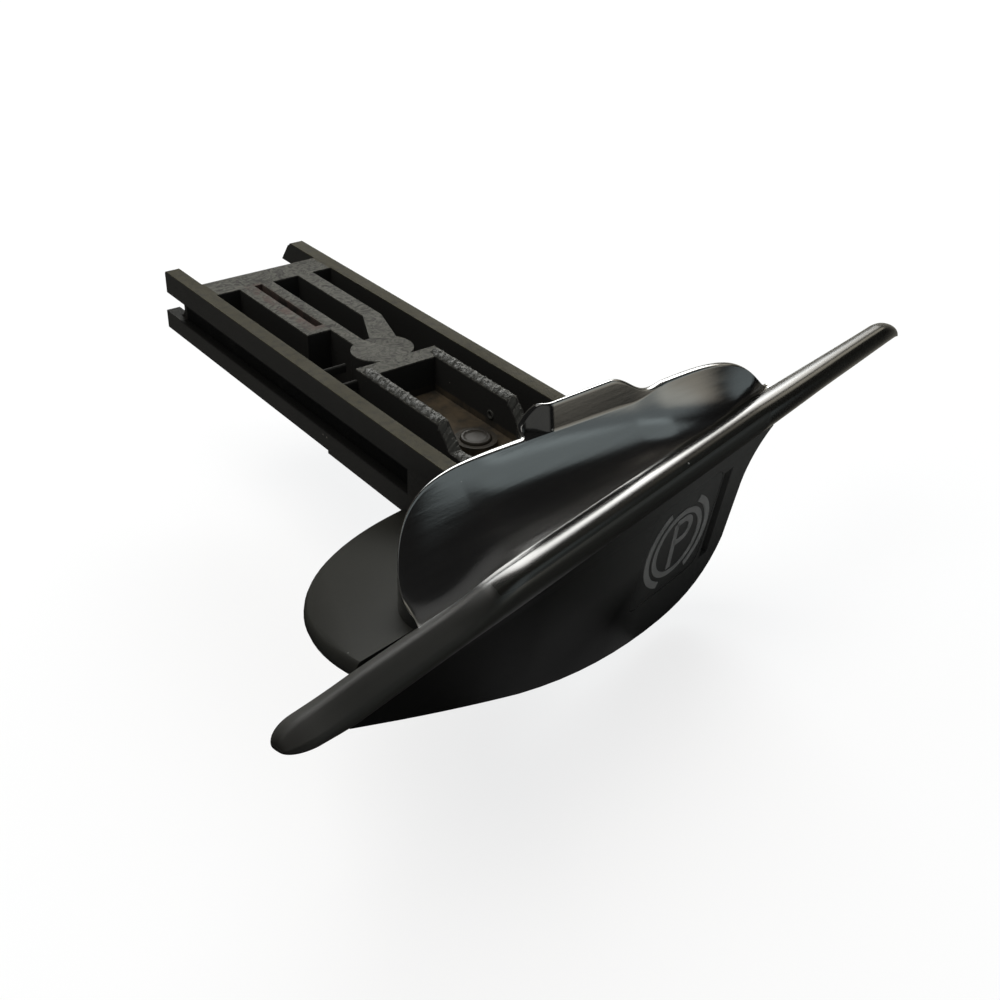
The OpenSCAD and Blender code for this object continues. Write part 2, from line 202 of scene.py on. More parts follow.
def makeGrain():
    # pitted moulding grain: a fine noise for height, and a wide one that varies roughness and tint
    group, start, end = makeGroup(
        "mouldGrain",
        [("Size", floatSocket, 3000.0), ("Patch", floatSocket, 60.0), ("Spread", floatSocket, 0.12)],
        [("Height", floatSocket), ("Rough", floatSocket), ("Tint", floatSocket)],
    )
    spot = addNode(group, "ShaderNodeTexCoord").outputs["Object"]
    fine = addNode(group, "ShaderNodeTexNoise", {"Detail": 3.0, "Roughness": 0.6},
                   {"Vector": spot, "Scale": start.outputs["Size"]})
    wide = addNode(group, "ShaderNodeTexNoise", {"Detail": 4.0, "Roughness": 0.55},
                   {"Vector": spot, "Scale": start.outputs["Patch"]})
    centred = calculate(group, "SUBTRACT", wide.outputs["Fac"], 0.5)
    spread = calculate(group, "MULTIPLY", centred, start.outputs["Spread"])
    tint = calculate(group, "ADD", spread, 1.0)
    group.links.new(fine.outputs["Fac"], end.inputs["Height"])
    group.links.new(spread, end.inputs["Rough"])
    group.links.new(tint, end.inputs["Tint"])
    return group


def makeSpecks():
    # sparse light specks of dust and nicks, from the small cells of a cell noise
    group, start, end = makeGroup(
        "dustSpecks",
        [("Size", floatSocket, 500.0), ("Limit", floatSocket, 0.08)],
        [("Mask", floatSocket)],
    )
    spot = addNode(group, "ShaderNodeTexCoord").outputs["Object"]
    cells = addNode(group, "ShaderNodeTexVoronoi", None, {"Vector": spot, "Scale": start.outputs["Size"]})
    thin = addNode(group, "ShaderNodeTexNoise", {"Detail": 2.0, "Scale": 90.0}, {"Vector": spot})
    rare = addNode(group, "ShaderNodeMapRange", {"From Min": 0.52, "From Max": 0.75},
                   {"Value": thin.outputs["Fac"]})
    edge = calculate(group, "MULTIPLY", start.outputs["Limit"], rare.outputs["Result"])
    near = calculate(group, "LESS_THAN", cells.outputs["Distance"], edge)
    group.links.new(near, end.inputs["Mask"])
    return group


def makeStreaks():
    # polishing streaks: noise drawn out along a direction that is turned from the x axis
    group, start, end = makeGroup(
        "polishStreaks",
        [("Along", floatSocket, 40.0), ("Across", floatSocket, 900.0), ("Turn", floatSocket, 12.5)],
        [("Height", floatSocket), ("Rough", floatSocket)],
    )
    spot = addNode(group, "ShaderNodeTexCoord").outputs["Object"]
    angle = calculate(group, "RADIANS", start.outputs["Turn"])
    turned = addNode(group, "ShaderNodeVectorRotate", {"Axis": (0, 0, -1)}, {"Vector": spot, "Angle": angle},
                     rotation_type="AXIS_ANGLE")
    across = start.outputs["Across"]
    scales = addNode(group, "ShaderNodeCombineXYZ", None,
                     {"X": start.outputs["Along"], "Y": across, "Z": across})
    drawn = calculate(group, "MULTIPLY", turned.outputs[0], scales.outputs[0], kind=vectorMath)
    lines = addNode(group, "ShaderNodeTexNoise", {"Scale": 1.0, "Detail": 4.0, "Roughness": 0.65},
                    {"Vector": drawn})
    centred = calculate(group, "SUBTRACT", lines.outputs["Fac"], 0.5)
    group.links.new(lines.outputs["Fac"], end.inputs["Height"])
    group.links.new(centred, end.inputs["Rough"])
    return group


def makeZone():
    # mask of a box with soft edges in the object's place, broken up by a noise between two limits; it carries
    # real wear and also painted light and shade
    group, start, end = makeGroup(
        "wearAndPaintedLightZone",
        [("Low", vectorSocket, (0, 0, 0)), ("High", vectorSocket, (0, 0, 0)), ("Edge", floatSocket, 0.001),
         ("Size", floatSocket, 1000.0), ("Swirl", floatSocket, 0.0),
         ("From", floatSocket, 0.3), ("To", floatSocket, 0.6)],
        [("Mask", floatSocket)],
    )
    spot = addNode(group, "ShaderNodeTexCoord").outputs["Object"]
    inverse = calculate(group, "DIVIDE", 1.0, start.outputs["Edge"])
    above = calculate(group, "SUBTRACT", spot, start.outputs["Low"], kind=vectorMath)
    below = calculate(group, "SUBTRACT", start.outputs["High"], spot, kind=vectorMath)
    inside = calculate(group, "MINIMUM", above, below, kind=vectorMath)
    scaled = addNode(group, vectorMath, None, {0: inside, "Scale": inverse}, operation="SCALE")
    parts = addNode(group, "ShaderNodeSeparateXYZ", None, {0: scaled.outputs[0]})
    flat = calculate(group, "MINIMUM", parts.outputs[0], parts.outputs[1])
    least = calculate(group, "MINIMUM", flat, parts.outputs[2], use_clamp=True)
    noise = addNode(group, "ShaderNodeTexNoise", {"Detail": 4.0, "Roughness": 0.6},
                    {"Vector": spot, "Scale": start.outputs["Size"], "Distortion": start.outputs["Swirl"]})
    cover = addNode(group, "ShaderNodeMapRange", None,
                    {"Value": noise.outputs["Fac"], "From Min": start.outputs["From"],
                     "From Max": start.outputs["To"]}, interpolation_type="SMOOTHSTEP")
    mask = calculate(group, "MULTIPLY", least, cover.outputs["Result"])
    group.links.new(mask, end.inputs["Mask"])
    return group


grainGroup = makeGrain()
specksGroup = makeSpecks()
streaksGroup = makeStreaks()
zoneGroup = makeZone()
print("effects made")


def addZones(tree, look, colour, rough):
    # each zone's mask brings in its own colour, and its own roughness where it has one
    for zone in look.get("zones", []):
        # zones bring in real wear and also painted light and shade
        zoneNode = addNode(tree, "ShaderNodeGroup", {
            "Low": tuple(k * mm for k in zone["low"]),
            "High": tuple(k * mm for k in zone["high"]),
            "Edge": zone["edge"] * mm,
            "Size": zone["size"],
            "Swirl": zone.get("swirl", 0.0),
            "From": zone["cover"][0],
            "To": zone["cover"][1],
        }, node_tree=zoneGroup)
        mask = zoneNode.outputs["Mask"]
        colour = blend(tree, "RGBA", mask, colour, zone["colour"])
        if "rough" in zone:
            rough = blend(tree, "FLOAT", mask, rough, zone["rough"])
    return colour, rough


def addStreaks(tree, look, height, rough):
    # streaks added to the grain's height and to the roughness
    if "streaks" not in look:
        return height, rough
    polish = look["streaks"]
    streaks = addNode(tree, "ShaderNodeGroup",
                      {"Along": polish["along"], "Across": polish["across"], "Turn": polish["turn"]},
                      node_tree=streaksGroup)
    ridge = calculate(tree, "MULTIPLY", streaks.outputs["Height"], polish["height"])
    lift = calculate(tree, "MULTIPLY", streaks.outputs["Rough"], polish["rough"])
    return calculate(tree, "ADD", ridge, height), calculate(tree, "ADD", lift, rough, use_clamp=True)


def plastic(look):
    # a colour with a patchy tint, dust specks, zones of wear and of painted light and shade, and grain and
    # streaks on the normal
    material = bpy.data.materials.new(look["name"])
    material.use_nodes = True
    tree = material.node_tree
    shader = tree.nodes["Principled BSDF"]
    shader.inputs["IOR"].default_value = look["ior"]
    shader.inputs["Specular IOR Level"].default_value = look["specular"]
    grain = addNode(tree, "ShaderNodeGroup",
                    {"Size": look["grainSize"], "Patch": look["patchSize"], "Spread": look["patchSpread"]},
                    node_tree=grainGroup)
    specks = addNode(tree, "ShaderNodeGroup", {"Size": look["speckSize"], "Limit": look["speckLimit"]},
                     node_tree=specksGroup)
    tinted = scaleColour(tree, look["colour"], grain.outputs["Tint"])
    colour = blend(tree, "RGBA", specks.outputs["Mask"], tinted, look["dust"])
    rough = calculate(tree, "ADD", grain.outputs["Rough"], look["rough"])
    colour, rough = addZones(tree, look, colour, rough)
    height, rough = addStreaks(tree, look, grain.outputs["Height"], rough)
    bump = addNode(tree, "ShaderNodeBump", {"Strength": look["bump"], "Distance": look["bumpDepth"] * mm},
                   {"Height": height})
    tree.links.new(colour, shader.inputs["Base Color"])
    tree.links.new(rough, shader.inputs["Roughness"])
    tree.links.new(bump.outputs["Normal"], shader.inputs["Normal"])
    return material


def railTopHighlight(left, right):
    # lighter top of a rail between two places across the stem: a painted highlight, broken up by noise
    return {"low": (left, -76, -0.2), "high": (right, 14, 0.4), "edge": 0.15,
            "colour": (0.034, 0.031, 0.021, 1), "size": 900.0, "cover": (0.1, 0.6)}


# zones run from low to high in millimetres: rail tops with a painted highlight, rib tops, tongue, the left
# rail's groove in painted shade, the box's floor
stemLook = {
    "name": "stemPlastic", "colour": (0.0178, 0.0174, 0.0162), "rough": 0.6, "ior": 1.5, "specular": 0.012,
    "grainSize": 3500.0, "patchSize": 120.0, "patchSpread": 0.2, "bump": 0.25, "bumpDepth": 0.08,
    "speckSize": 700.0, "speckLimit": 0.12, "dust": (0.09, 0.085, 0.075, 1),
    "zones": [
        railTopHighlight(-12.3, -9.4),
        railTopHighlight(9.4, 12.3),
        {"low": (-9.6, -64, -0.25), "high": (9.6, 0.4, 0.4), "edge": 0.15,
         "colour": (0.075, 0.073, 0.063, 1), "size": 520.0, "swirl": 3.0, "cover": (0.25, 0.7)},
        {"low": (-5.2, -23.6, -1.7), "high": (-2.0, -4.0, 0.4), "edge": 0.5,
         "colour": (0.06, 0.04, 0.034, 1), "size": 420.0, "cover": (0.35, 0.65)},
        # painted shade deep in the left rail's groove
        {"low": (-12.4, -57.6, -7.2), "high": (-10.2, 4, -3.3), "edge": 0.3,
         "colour": (0.005, 0.005, 0.0048, 1), "size": 300.0, "cover": (-0.4, 0.5)},
        {"low": (-4.6, -62, -5.7), "high": (5.2, -39.6, -4.1), "edge": 0.4,
         "colour": (0.06, 0.046, 0.03, 1), "size": 330.0, "cover": (0.2, 0.7)},
    ],
}
hullLook = {
    "name": "hullPlastic", "colour": (0.0114, 0.0114, 0.0101), "rough": 0.55, "ior": 1.5, "specular": 0.035,
    "grainSize": 4200.0, "patchSize": 45.0, "patchSpread": 0.12, "bump": 0.18, "bumpDepth": 0.05,
    "speckSize": 420.0, "speckLimit": 0.07, "dust": (0.09, 0.09, 0.08, 1),
}
shroudLook = {
    "name": "shroudPlastic", "colour": (0.0075, 0.0075, 0.0077), "rough": 0.145, "ior": 1.52,
    "specular": 0.55, "grainSize": 2500.0, "patchSize": 50.0, "patchSpread": 0.1, "bump": 0.1,
    "bumpDepth": 0.03, "speckSize": 360.0, "speckLimit": 0.09, "dust": (0.2, 0.2, 0.19, 1),
    "streaks": {"along": 45.0, "across": 1100.0, "turn": 8.0, "height": 2.6, "rough": 0.2},
}
# zones of the bar: the matte left wing, and the lower front
barLook = {
    "name": "barPlastic", "colour": (0.0065, 0.0063, 0.0053), "rough": 0.22, "ior": 1.52, "specular": 0.16,
    "grainSize": 2800.0, "patchSize": 70.0, "patchSpread": 0.1, "bump": 0.06, "bumpDepth": 0.03,
    "speckSize": 420.0, "speckLimit": 0.07, "dust": (0.16, 0.16, 0.15, 1),
    "streaks": {"along": 30.0, "across": 900.0, "turn": 12.5, "height": 0.8, "rough": 0.08},
    "zones": [
        {"low": (-80, -120, -20), "high": (-22.4, -50, 20), "edge": 1.4,
         "colour": (0.0042, 0.0041, 0.0034, 1), "size": 90.0, "cover": (-0.6, 0.2), "rough": 0.68},
        {"low": (-80, -120, -20), "high": (30, -50, 1.1), "edge": 1.0,
         "colour": (0.0065, 0.0063, 0.0053, 1), "size": 90.0, "cover": (-0.6, 0.2), "rough": 0.6},
    ],
}
# zones of the face: painted light that makes it lighter upwards and to the right, and painted shade at the
# lower left
faceLook = {
    "name": "facePlastic", "colour": (0.0035, 0.0035, 0.0034), "rough": 0.5, "ior": 1.5, "specular": 0.012,
    "grainSize": 4200.0, "patchSize": 50.0, "patchSpread": 0.12, "bump": 0.16, "bumpDepth": 0.05,
    "speckSize": 420.0, "speckLimit": 0.05, "dust": (0.06, 0.06, 0.056, 1),
    "zones": [
        # painted light, lighter upwards and to the right
        {"low": (-14, -180, -38), "high": (120, 40, 60), "edge": 30.0,
         "colour": (0.04, 0.04, 0.0385, 1), "size": 60.0, "cover": (-0.6, 0.3)},
        # painted shade at the lower left
        {"low": (-60, -130, -50), "high": (10.5, -20, -13.5), "edge": 7.0,
         "colour": (0.0012, 0.0012, 0.0011, 1), "size": 60.0, "cover": (-0.6, 0.3)},
    ],
}
printLook = {
    "name": "signPrint", "colour": (0.1, 0.1, 0.097), "rough": 0.7, "ior": 1.5, "specular": 0.2,
    "grainSize": 5200.0, "patchSize": 900.0, "patchSpread": 0.8, "bump": 0.3, "bumpDepth": 0.05,
    "speckSize": 2600.0, "speckLimit": 0.3, "dust": (0.16, 0.16, 0.157, 1),
}
wornLook = {
    "name": "wornPlastic", "colour": (0.034, 0.034, 0.031), "rough": 0.5, "ior": 1.5, "specular": 0.04,
    "grainSize": 2400.0, "patchSize": 700.0, "patchSpread": 0.5, "bump": 0.24, "bumpDepth": 0.09,
    "speckSize": 1500.0, "speckLimit": 0.08, "dust": (0.08, 0.08, 0.074, 1),
}
screwLook = {
    "name": "screwSteel", "colour": (0.0125, 0.0105, 0.0078), "rough": 0.45, "ior": 1.5, "specular": 0.03,
    "grainSize": 2600.0, "patchSize": 300.0, "patchSpread": 0.3, "bump": 0.12, "bumpDepth": 0.03,
    "speckSize": 900.0, "speckLimit": 0.1, "dust": (0.2, 0.19, 0.17, 1),
}

stemPlastic = plastic(stemLook)
hullPlastic = plastic(hullLook)
shroudPlastic = plastic(shroudLook)
barPlastic = plastic(barLook)
facePlastic = plastic(faceLook)
signPrintInk = plastic(printLook)
wornPlastic = plastic(wornLook)
screwSteel = plastic(screwLook)
print("materials made")

# upper shroud: a span is the stretch of x in which one form goes over into the next, and the powers and the
# swell's ease are for the left and the right side
shroud = {
    "middle": 1.6, "half": 33.2, "inset": 0.998, "reach": 7.6, "skew": 0.8, "least": 1.0, "back": 2.1,
    "foot": 0.04, "archPower": (4, 3), "swellPower": (10, 8.5), "swellEase": (1.6, 2.2), "swellLeast": 0.05,
    "rightSwell": 0.05, "rightSpan": (0.2, 0.6),
    "crest": 6.45, "crestRound": 0.2, "roundLeft": 0.3, "roundSpan": (-27, -18), "roundShare": 0.15,
    "crestFlat": 0.3, "flatLeft": 0.03, "flatTab": 0.1, "flatSpan": (-25, -8), "flatShare": 0.2,
    "crestTurn": 158.0, "turnFrom": 0.06,
    "crestFall": 1.1, "fallFrom": -18.0, "fallRun": 30.0, "fallSpan": (8.7, 14.7),
    "valley": 1.0, "valleyLeft": 0.2, "valleySpan": (-16, -29), "valleyStep": 0.02,
    "tabLeft": -7.8, "tabFull": -4.8, "tabBack": -6.9, "tabFront": -3.6, "tabRight": 5.4, "tabEnd": 13.4,
    "tabHeight": 2.7, "tabSet": 1.7, "tabLean": 0.015, "tabShelf": (0.3, 0.7, 1.0),
    "steepTop": 68.0, "steepEnd": 30.0, "steepLeft": 8.0, "steepRight": 20.0, "steepSpan": (-24, -4),
    "bendLeft": 2.8, "bendRight": 1.25, "dishSpan": (-26.5, -11),
    "steps": 320, "wallSteps": 10, "crestSteps": 18, "frontSteps": 10, "dishSteps": 60,
}


def scoopProfile(size, x):
    # hollow curves in a unit square, summed from a tilt that falls from the crest to the valley
    t = np.linspace(0, 1, size["dishSteps"])
    low = ease(size["steepLeft"], size["steepRight"], size["steepSpan"], x)
    high = ease(size["steepEnd"], size["steepTop"], size["dishSpan"], x)
    bend = ease(size["bendLeft"], size["bendRight"], size["dishSpan"], x)
    tilt = np.radians(high[:, None] + (low - high)[:, None] * t[None] ** bend[:, None])
    middle = tilt[:, :-1] / 2 + tilt[:, 1:] / 2
    forth = np.cumsum(np.cos(middle), 1)
    down = np.cumsum(np.sin(middle), 1)
    return forth / forth[:, -1:], down / down[:, -1:]


def shroudSurface(size):
    # sections across x: up the rear wall, over the narrow top of the crest or tab, down the tab's front and
    # the hollow dish
    turn = np.linspace(0, math.pi, size["steps"])
    x = size["middle"] - size["inset"] * size["half"] * np.cos(turn)
    side = (x - size["middle"]) / size["half"]
    far = np.abs(side)
    left = side < 0
    arch = np.sqrt(np.maximum(0, 1 - far ** np.where(left, *size["archPower"])))
    swell = np.maximum(size["swellLeast"], 1 - far ** np.where(left, *size["swellPower"]))
    swell = swell ** np.where(left, *size["swellEase"])
    swell = swell * (1 + size["rightSwell"] * smooth(*size["rightSpan"], side))
    yaw = math.radians(layout["barYaw"])
    front = -layout["barY"] + math.tan(yaw) * x + size["back"] / math.cos(yaw)
    rear = front + np.maximum(size["least"], size["reach"] * (1 - size["skew"] * side) * arch)
    fall = size["crestFall"] * np.maximum(0, x - size["fallFrom"]) / size["fallRun"]
    fall = fall * (1 - smooth(*size["fallSpan"], x))
    top = size["valley"] + size["crest"] * swell - fall
    valley = ease(size["valley"], size["valleyLeft"], size["valleySpan"], x)
    share = smooth(size["tabLeft"], size["tabFull"], x) * (1 - smooth(size["tabRight"], size["tabEnd"], x))
    setBack = smooth(size["tabLeft"], size["tabBack"], x) * (1 - smooth(size["tabBack"], size["tabFront"], x))
    setBack = setBack * size["tabSet"]
    rise = (size["tabHeight"] + fall) * share
    wall = rear + setBack + size["tabLean"] * rise
    slope = layout["hullDrop"] / layout["hullReach"]
    rearFoot = -slope * (rear - layout["hullY"]) + size["foot"]
    frontFoot = -slope * (front - layout["hullY"]) + size["foot"]
    r = size["crestRound"] * ease(size["roundLeft"], 1, size["roundSpan"], x)
    r = np.minimum(r, size["roundShare"] * (rear - front))
    flat = ease(size["flatLeft"], size["crestFlat"], size["flatSpan"], x)
    flat = np.minimum(flat, size["flatShare"] * (rear - front))
    flatTop = flat + (size["flatTab"] - flat) * share
    end = math.radians(size["crestTurn"])
    startY = rear - (r + flat) * (1 - math.cos(end))
    startZ = np.maximum(top - r + r * math.sin(end), valley + size["valleyStep"])
    t = np.linspace(0, 1, size["wallSteps"])[:, None]
    wallY = np.repeat(wall[None], len(t), 0)
    wallZ = rearFoot + (top + rise - r - rearFoot) * t
    a = np.linspace(size["turnFrom"], 1, size["crestSteps"])[:, None] * end
    crestY = wall - (r + flatTop) * (1 - np.cos(a))
    crestZ = top + rise - r + r * np.sin(a)
    t = np.linspace(0, 1, size["frontSteps"])[1:, None]
    tabY = crestY[-1] + (startY + setBack - crestY[-1]) * t
    tabZ = crestZ[-1] + (startZ - crestZ[-1]) * t
    t = np.array(size["tabShelf"])[:, None]
    shelfY = startY + setBack * (1 - t)
    shelfZ = np.repeat(startZ[None], len(t), 0)
    forth, down = scoopProfile(size, x)
    dishY = startY + (front - startY) * forth.T
    dishZ = startZ + (valley - startZ) * down.T
    y = np.concatenate([wallY, crestY, tabY, shelfY, dishY, front[None]])
    z = np.concatenate([wallZ, crestZ, tabZ, shelfZ, dishZ, frontFoot[None]])
    return np.stack(np.broadcast_arrays(x[:, None], y.T, z.T), -1)


gripShroud = skin("gripShroud", shroudSurface(shroud), sharp=50)
place(gripShroud, "upper_shroud", shroudPlastic)
print("shroud made")

# trim bar: its section's corners back and up from the seam, for the flat left wing and for the round roll
bar = {
    "left": 51.2, "right": 73.1, "top": 1.7, "low": -3.6, "middle": (0.9, -0.7),
    "wing": [(0.6, -3.6), (-0.5, -2.5), (-1.2, -1.5), (-1.1, -0.5), (-0.4, 0.05), (0.3, 0.6), (1.1, 1.1),
             (2.1, 0.6), (3.2, -0.3), (3.15, -3.6)],
    "roll": [(0.6, -3.7), (-0.6, -2.6), (-1.5, -1.0), (-1.45, 0.75), (-0.75, 1.62), (0.3, 1.86), (1.5, 1.7),
             (2.5, 0.9), (3.05, -1.5), (2.9, -3.7)],
    "rollSpan": (-30.0, -19.0), "fallFrom": 28.0, "fall": 0.036,
    "topLeft": 0.55, "topSpan": (-40, -50), "lowLeft": 1.4, "lowSpan": (-42, -51.5),
    "sagRight": 0.25, "sagSpan": (45, 62), "thinRight": 0.25, "thinSpan": (30, 66),
    "tipLeft": 3.4, "tipLeast": 0.02, "tipDeep": 0.2,
    "tipRight": 8.0, "endLeast": 0.04, "endEase": 0.7, "endDeep": 0.4,
    "lines": (1.75, 2.2), "lineDeep": 0.09, "lineWide": 0.13, "lineSpan": (0.0, 14.0), "lineRise": (0.2, 0.6),
    "steps": 260, "rounds": 4,
}


def roundCorners(points, rounds):
    # every corner cut at a quarter of its sides, again and again, until the outline is smooth
    for step in range(rounds):
        after = np.roll(points, -1, 1)
        cut = np.stack([0.75 * points + 0.25 * after, 0.25 * points + 0.75 * after], 2)
        points = cut.reshape(points.shape[0], -1, points.shape[2])
    return points


def barSurface(size):
    # a section carried along the bar, from the flat wing to the roll, drawn in at the left tip and let down
    # to a low point at the right one
    t = (1 - np.cos(np.linspace(0, math.pi, size["steps"]))) / 2
    u = t * (size["left"] + size["right"]) - size["left"]
    near = np.clip(1 - (u + size["left"]) / size["tipLeft"], 0, 1)
    roundTip = np.sqrt(np.maximum(size["tipLeast"], 1 - near ** 2))
    tip = np.clip(1 - (size["right"] - u) / size["tipRight"], 0, 1)
    drop = np.maximum(size["endLeast"], 1 - tip ** 2) ** size["endEase"]
    midW, midZ = size["middle"]
    top = size["top"] - size["fall"] * np.maximum(0, u - size["fallFrom"])
    top = top - size["topLeft"] * smooth(*size["topSpan"], u)
    low = size["low"] + size["lowLeft"] * smooth(*size["lowSpan"], u)
    low = low - size["sagRight"] * smooth(*size["sagSpan"], u)
    top = midZ + (top - midZ) * roundTip
    low = midZ + (low - midZ) * roundTip
    high = (top - low) * drop / (size["top"] - size["low"])
    deep = size["tipDeep"] + (1 - size["tipDeep"]) * roundTip
    deep = deep * (1 - size["thinRight"] * smooth(*size["thinSpan"], u))
    deep = deep * (size["endDeep"] + (1 - size["endDeep"]) * drop)
    roll = smooth(*size["rollSpan"], u)[:, None, None]
    section = np.array(size["wing"])[None] * (1 - roll) + np.array(size["roll"])[None] * roll
    section = roundCorners(section, size["rounds"])
    w = midW + (section[..., 0] - midW) * deep[:, None]
    z = low[:, None] + (section[..., 1] - size["low"]) * high[:, None]
    share = smooth(*size["lineSpan"], u)[:, None] * smooth(*size["lineRise"], z)
    for line in size["lines"]:
        z = z - size["lineDeep"] * share * np.exp(-((section[..., 0] - line) / size["lineWide"]) ** 2)
    return inBar(np.stack(np.broadcast_arrays(u[:, None], w, z), -1))


gripBar = skin("gripBar", barSurface(bar), sharp=60)
place(gripBar, "trim_bar", barPlastic)
print("bar made")

# pieces that keep the frame's own form, with rounded edges
edges = {"stem": 0.28, "hull": 0.3, "face": 0.35}

stemBody = softCopy("stemBody", "pull_stem", edges["stem"])
place(stemBody, "pull_stem", stemPlastic)
hullShell = softCopy("hullShell", "rear_hull", edges["hull"], angle=50)
place(hullShell, "rear_hull", hullPlastic)
facePanel = softCopy("facePanel", "face_panel", edges["face"], angle=40)
place(facePanel, "face_panel", facePlastic)
print("stem, hull and face made")

# rough rims on the box's walls, low cross ribs in the left bay and a stud on the box's right wall
trim = {
    "leftWall": -5.2, "rightWall": 5.8, "boxRear": -38.2, "boxFront": -62.6,
    "dipTop": -55.1, "dipFoot": -58.1, "dipZ": -3.0, "dipEase": (0.4, 0.15),
    "rimWide": 1.7, "rimHigh": 0.22, "rimOver": 0.35, "rimSteps": 240, "rimRound": 12,
    "highWave": (4.0, 0.75), "wideWave": (2.6, 0.12), "driftWave": (1.7, 0.1), "twist": 2.2,
    "rimSeeds": {"left": 0.4, "right": 2.9, "front": 1.6},
    "ribY": (-32.1, -37.1), "ribX": (-10.0, -4.8), "ribTop": -1.5, "ribDeep": 1.2, "ribWide": 0.55,
    "ribSteps": 14, "ribRound": 9,
    "studAt": (4.95, -52.1, -3.5), "studRing": 0.5, "studRound": 0.2, "studSteps": (28, 12),
}


def ripple(t, seed):
    # uneven wave between about -1 and 1, summed from four plain ones
    waves = [(1.0, 0.7), (2.3, 0.6), (4.1, 0.4), (7.7, 0.3)]
    return sum(k * np.sin(f * t + seed * (1 + 1.7 * f)) for f, k in waves) / 1.4


def rimSurface(size, corners, seed):
    # half round laid along a path on the wall's top, uneven in height, width and place
    corners = np.array(corners, float)
    leg = np.linalg.norm(np.diff(corners, axis=0), axis=1)
    along = np.concatenate([[0], np.cumsum(leg)])
    t = np.linspace(0, along[-1], size["rimSteps"])
    path = np.stack([np.interp(t, along, corners[:, k]) for k in range(3)], -1)
    ahead = np.gradient(path[:, :2], axis=0)
    ahead = ahead / np.linalg.norm(ahead, axis=1, keepdims=True)
    sideways = np.stack([-ahead[:, 1], ahead[:, 0]], -1)
    a = np.linspace(-size["rimOver"], math.pi + size["rimOver"], size["rimRound"])
    highPace, highShare = size["highWave"]
    widePace, wideShare = size["wideWave"]
    driftPace, drift = size["driftWave"]
    wave = ripple(highPace * t[:, None] + size["twist"] * np.cos(a)[None], seed)
    high = size["rimHigh"] * (1 + highShare * wave)
    wide = size["rimWide"] / 2 * (1 + wideShare * ripple(widePace * t, seed + 1.3))[:, None]
    over = wide * np.cos(a)[None] + drift * ripple(driftPace * t, seed + 2.1)[:, None]
    x = path[:, :1] + sideways[:, :1] * over
    y = path[:, 1:2] + sideways[:, 1:] * over
    z = path[:, 2:] + high * np.sin(a)[None]
    return np.stack([x, y, z], -1)


def wallPath(size, x):
    # along the top of a side wall and down its dip to the front wall
    before, below = size["dipEase"]
    return [(x, size["boxRear"], 0), (x, size["dipTop"] + before, 0), (x, size["dipTop"], -below),
            (x, size["dipFoot"], size["dipZ"]), (x, size["boxFront"], size["dipZ"])]


def frontPath(size):
    # along the top of the front wall
    return [(x, size["boxFront"], size["dipZ"]) for x in (size["leftWall"], size["rightWall"])]


def ribSurface(size, y):
    # straight bar with a rounded top
    a = np.linspace(0, math.pi, size["ribRound"])
    half = size["ribWide"] / 2
    across = np.concatenate([[half], half * np.cos(a), [-half]])
    up = np.concatenate([[-size["ribDeep"]], half * (np.sin(a) - 1), [-size["ribDeep"]]])
    x = np.linspace(*size["ribX"], size["ribSteps"])
    return np.stack(np.broadcast_arrays(x[:, None], y + across[None], size["ribTop"] + up[None]), -1)


def studSurface(size):
    # small ring that stands on the wall, turned round the axis across the stem
    a, b = [np.linspace(0, 2 * math.pi, k, endpoint=False) for k in size["studSteps"]]
    r = size["studRing"] + size["studRound"] * np.cos(b)[None]
    x = size["studAt"][0] - size["studRound"] * np.sin(b)[None]
    y = size["studAt"][1] + r * np.cos(a)[:, None]
    z = size["studAt"][2] + r * np.sin(a)[:, None]
    return np.stack(np.broadcast_arrays(x, y, z), -1)


seeds = trim["rimSeeds"]
trimParts = [
    skin("rimLeft", rimSurface(trim, wallPath(trim, trim["leftWall"]), seeds["left"])),
    skin("rimRight", rimSurface(trim, wallPath(trim, trim["rightWall"]), seeds["right"])),
    skin("rimFront", rimSurface(trim, frontPath(trim), seeds["front"])),
    skin("boxStud", studSurface(trim), closedU=True),
]
for part in trimParts:
    place(part, None, wornPlastic)
for count, y in enumerate(trim["ribY"]):
    place(skin("crossRib" + str(count), ribSurface(trim, y)), None, stemPlastic)
print("stem's trim made")

# inset plate of the sign
pad = {
    "x": 16.4, "y": -11.4, "half": 8.13, "corner": 2.1, "deep": 1.15, "proud": -0.04, "edge": 0.12,
    "chamfer": 0.04, "rings": (1.5, 4.0), "centre": 8.1, "steps": 128,
}


def padSurface(size):
    # rounded square swept from its back over a small edge to the middle of its front
    a = np.linspace(0, 2 * math.pi, size["steps"], endpoint=False)
    box = size["half"] - size["corner"]
    cornerX = np.sign(np.cos(a)) * box
    cornerY = np.sign(np.sin(a)) * box
    deep, edge, chamfer = size["deep"], size["edge"], size["chamfer"]
    inset = np.array([size["centre"], 0, 0, chamfer, edge, *size["rings"], size["centre"]])
    lift = np.array([-deep, -deep, -edge, -chamfer, 0, 0, 0, 0]) + size["proud"]
    share = 1 - inset / size["half"]
    x = size["x"] + (cornerX + size["corner"] * np.cos(a))[None] * share[:, None]
    y = size["y"] + (cornerY + size["corner"] * np.sin(a))[None] * share[:, None]
    return onFace(np.stack(np.broadcast_arrays(x, y, lift[:, None]), -1))


signPad = skin("signPad", padSurface(pad), sharp=60)
place(signPad, "sign_plate", facePlastic)
print("pad made")

